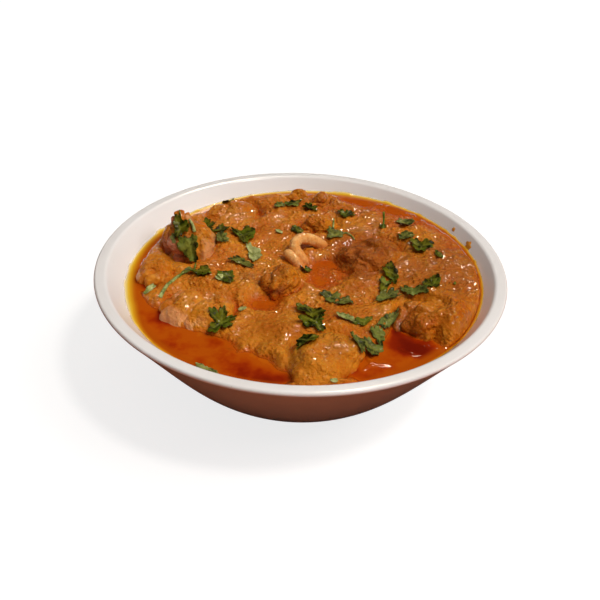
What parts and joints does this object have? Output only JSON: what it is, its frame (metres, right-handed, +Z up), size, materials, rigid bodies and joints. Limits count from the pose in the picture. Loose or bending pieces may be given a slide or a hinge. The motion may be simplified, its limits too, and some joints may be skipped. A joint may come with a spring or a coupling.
{
  "type": "mutton dahiwala in a bowl",
  "caption": "White bowl filled with mutton curry in a thick yoghurt gravy: pieces of meat stand out of the sauce with red oil between them. It rests on its foot ring.",
  "frame": {"origin": "middle of the circle on which the bowl's foot ring stands", "axes": "+Z up out of the bowl, -Y to the front, where the large pool of oil and the front piece of mutton are, +X to the right"},
  "size_m": [0.19, 0.19, 0.0698],
  "materials": {
    "glazed_stoneware": "gloss",
    "gravy": "satin",
    "mutton": "satin",
    "gristle": "satin",
    "oil": "gloss",
    "coriander": "satin"
  },
  "bodies": {
    "root": {"bowl": "glazed_stoneware", "gravy": "gravy", "mutton_tall": "mutton", "mutton_left": "mutton", "mutton_big_left": "mutton", "mutton_centre": "mutton", "mutton_front": "mutton", "mutton_right_front": "mutton", "mutton_right_back": "mutton", "mutton_back_left": "mutton", "mutton_back_middle": "mutton", "mutton_back_edge_left": "mutton", "mutton_back_edge_right": "mutton", "gristle_curl": "gristle", "gristle_tip": "gristle", "oil_front_left": "oil", "oil_front_right": "oil", "oil_back_right": "oil", "oil_middle": "oil", "oil_middle_left": "oil"}
  },
  "joints": []
}
